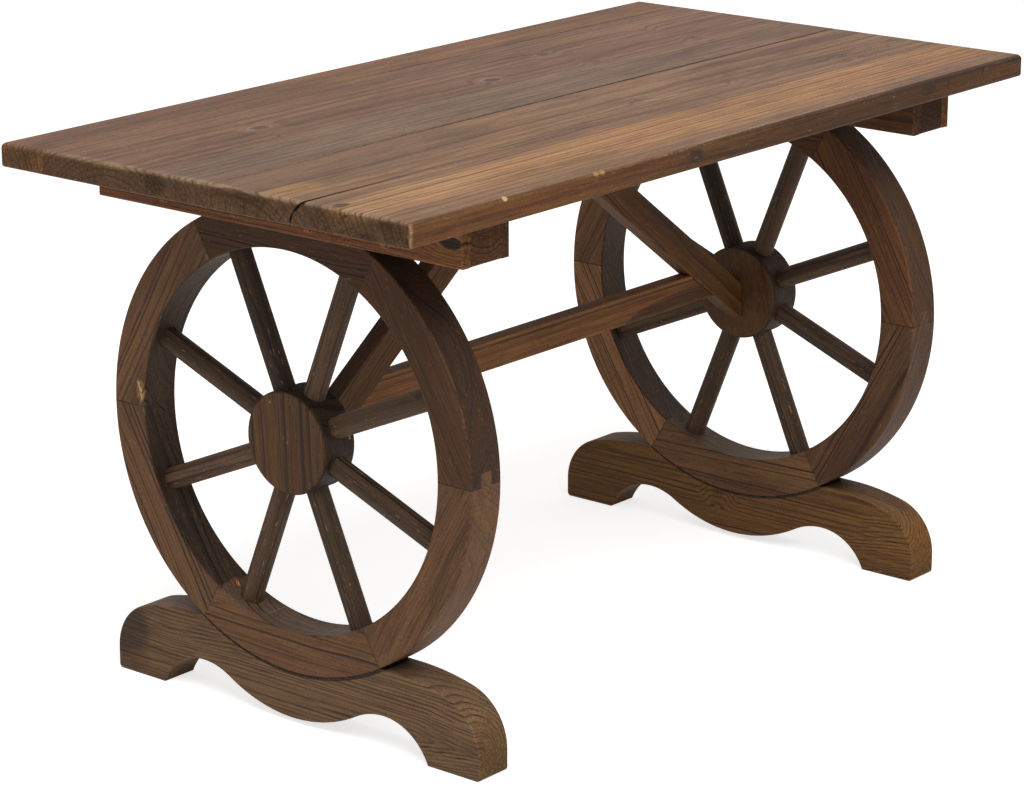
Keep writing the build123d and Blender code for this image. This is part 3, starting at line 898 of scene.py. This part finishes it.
class WHEELTABLE_OT_splinters(bpy.types.Operator):
    """Raise the torn fibres in the chips"""

    bl_idname = "wheel_table.splinters"
    bl_label = "Splinters"

    def execute(self, context):
        size = context.scene.wheel_table_fixing.chip
        fir = bare_fir()
        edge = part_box("plank_front")[0][1] / MM + 1.7
        top = TOP_Z / MM
        ahead, slope = (1, 0, 0), (0, -1, 1)
        # Name, slot, middle of the chip, along the fibres, out of the surface, spread, number
        chips = [
            ("top_front_chip_1", "plank_front", (-333, edge, top - 1.7), ahead, slope, 1.2, 7),
            ("top_front_chip_2", "plank_front", (-212, edge, top - 1.9), ahead, slope, 7.0, 20),
            ("left_rim_chip", "felloe", (-FACE_X / MM, 177.5, 273), (0, 0.25, 1), (-1, 0, 0), 7.0,
             20),
            ("left_spoke_hole_chip", "felloe", (-328, 82, 107), (0.4, 0.7, 0.5), (0, -0.5, 0.86),
             5.0, 8),
        ]
        for seed, (name, slot, middle, along, out, spread, number) in enumerate(chips, 20):
            chance = random.Random(seed)
            along, out = Vector(along).normalized(), Vector(out).normalized()
            side = along.cross(out).normalized()
            mesh = bmesh.new()
            for _ in range(number):
                length = size * chance.uniform(0.35, 1.0)
                width = length * chance.uniform(0.12, 0.22)
                start = Vector(middle) * MM + side * chance.uniform(-1, 1) * 1.3 * MM
                start += along * (chance.uniform(-1, 1) * spread * MM - length / 2)
                bow, swing = chance.uniform(0.1, 0.5) * MM, chance.uniform(-0.15, 0.15)
                stations = []
                for step in range(STATIONS):
                    share = step / (STATIONS - 1)
                    wide = width * (0.12 + math.sin(math.pi * min(1, share + 0.12)) ** 0.6) / 2
                    lift = out * (bow * share**2)
                    spine = start + (along + side * swing * share) * length * share + lift
                    stations.append([
                        mesh.verts.new(spine - side * wide),
                        mesh.verts.new(spine + out * wide * 0.7),
                        mesh.verts.new(spine + side * wide),
                        mesh.verts.new(spine - out * 0.5 * MM),
                    ])
                for near, far in zip(stations, stations[1:]):
                    for corner in range(4):
                        after = (corner + 1) % 4
                        mesh.faces.new((near[corner], near[after], far[after], far[corner]))
                mesh.faces.new(stations[0])
                mesh.faces.new(stations[-1])
            bmesh.ops.recalc_face_normals(mesh, faces=mesh.faces)
            chip = make_object(mesh, name, fir)
            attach(chip, "root")
        return {"FINISHED"}


class WHEELTABLE_OT_stage(bpy.types.Operator):
    """Set up the floor, the lamp and the camera"""

    bl_idname = "wheel_table.stage"
    bl_label = "Stage"

    def execute(self, context):
        stage = context.scene.wheel_table_stage
        # Matt painted floor, lifted to white where it is only a background
        paint, tree = new_material("matt floor paint")
        lift = add_node(tree, "Math", {0: background_rays(tree), 1: 0.7}, operation="MULTIPLY")
        matt = add_node(tree, "BsdfDiffuse", {"Color": stage.floor})
        glow = add_node(tree, "Emission", {"Color": (1, 1, 1), "Strength": lift})
        both = add_node(tree, "AddShader", {0: matt, 1: glow})
        add_node(tree, "OutputMaterial", {"Surface": both})
        mesh = bmesh.new()
        bmesh.ops.create_circle(mesh, cap_ends=True, radius=16, segments=96)
        floor = make_object(mesh, "floor", paint)

        world = bpy.data.worlds.new("room")
        world.use_nodes = True
        tree = world.node_tree
        tree.nodes.clear()
        strength = add_node(tree, "MapRange", {"Value": background_rays(tree), "To": (stage.sky, 1.0)})
        room = add_node(tree, "Background", {"Color": (1, 1, 1), "Strength": strength})
        add_node(tree, "OutputWorld", {"Surface": room})
        context.scene.world = world

        light = bpy.data.lights.new("overhead lamp", "AREA")
        light.shape = "DISK"
        light.size = 2.4
        light.energy = stage.key_power
        lamp = bpy.data.objects.new("overhead lamp", light)
        lamp.location = (-1.0, -1.2, 2.6)
        aim = Vector((0, 0, HUB_Z)) - lamp.location
        lamp.rotation_euler = aim.to_track_quat("-Z", "Y").to_euler()
        context.collection.objects.link(lamp)

        data = bpy.data.cameras.new("camera")
        data.sensor_width = 36
        data.lens = stage.focal
        data.clip_end = 100
        camera = bpy.data.objects.new("camera", data)
        # Where the camera stands, and how far it is turned, raised and rolled
        stand = (-2.438798, -1.988827, 1.152019)
        azimuth, height, roll = (math.radians(angle) for angle in (-50.306, 16.437, -0.096))
        back = Vector((
            math.sin(azimuth) * math.cos(height), -math.cos(azimuth) * math.cos(height),
            math.sin(height),
        ))
        across = Vector((0, 0, 1)).cross(back).normalized()
        above = back.cross(across)
        right = across * math.cos(roll) + above * math.sin(roll)
        up = above * math.cos(roll) - across * math.sin(roll)
        turn = Matrix((right, up, back)).transposed().to_4x4()
        camera.matrix_world = Matrix.Translation(stand) @ turn
        context.collection.objects.link(camera)
        context.scene.camera = camera
        context.scene.view_settings.view_transform = "Standard"
        return {"FINISHED"}


class WHEELTABLE_PT_table(bpy.types.Panel):
    """Lists the table's pieces and its settings"""

    bl_label = "Wagon Wheel Table"
    bl_idname = "WHEELTABLE_PT_table"
    bl_space_type = "VIEW_3D"
    bl_region_type = "UI"
    bl_category = "Wheel Table"

    def draw(self, context):
        for operator in OPERATORS:
            self.layout.operator(operator.bl_idname)
        for name in SETTINGS:
            group = getattr(context.scene, name)
            box = self.layout.box()
            for key in group.__annotations__:
                box.prop(group, key)


SETTINGS = {
    "wheel_table_stain": StainSettings,
    "wheel_table_grain": GrainSettings,
    "wheel_table_fixing": FixingSettings,
    "wheel_table_stage": StageSettings,
}
OPERATORS = (
    WHEELTABLE_OT_planks,
    WHEELTABLE_OT_battens,
    WHEELTABLE_OT_wheels,
    WHEELTABLE_OT_feet,
    WHEELTABLE_OT_braces,
    WHEELTABLE_OT_nails,
    WHEELTABLE_OT_splinters,
    WHEELTABLE_OT_stage,
)


def register():
    for cls in (*SETTINGS.values(), *OPERATORS, WHEELTABLE_PT_table):
        bpy.utils.register_class(cls)
    for name, group in SETTINGS.items():
        setattr(bpy.types.Scene, name, PointerProperty(type=group))


def unregister():
    for name in SETTINGS:
        delattr(bpy.types.Scene, name)
    for cls in (WHEELTABLE_PT_table, *reversed(OPERATORS), *reversed(SETTINGS.values())):
        bpy.utils.unregister_class(cls)


def main():
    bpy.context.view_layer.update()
    register()
    for operator in OPERATORS:
        getattr(bpy.ops.wheel_table, operator.bl_idname.split(".")[1])()


if __name__ == "__main__":
    main()
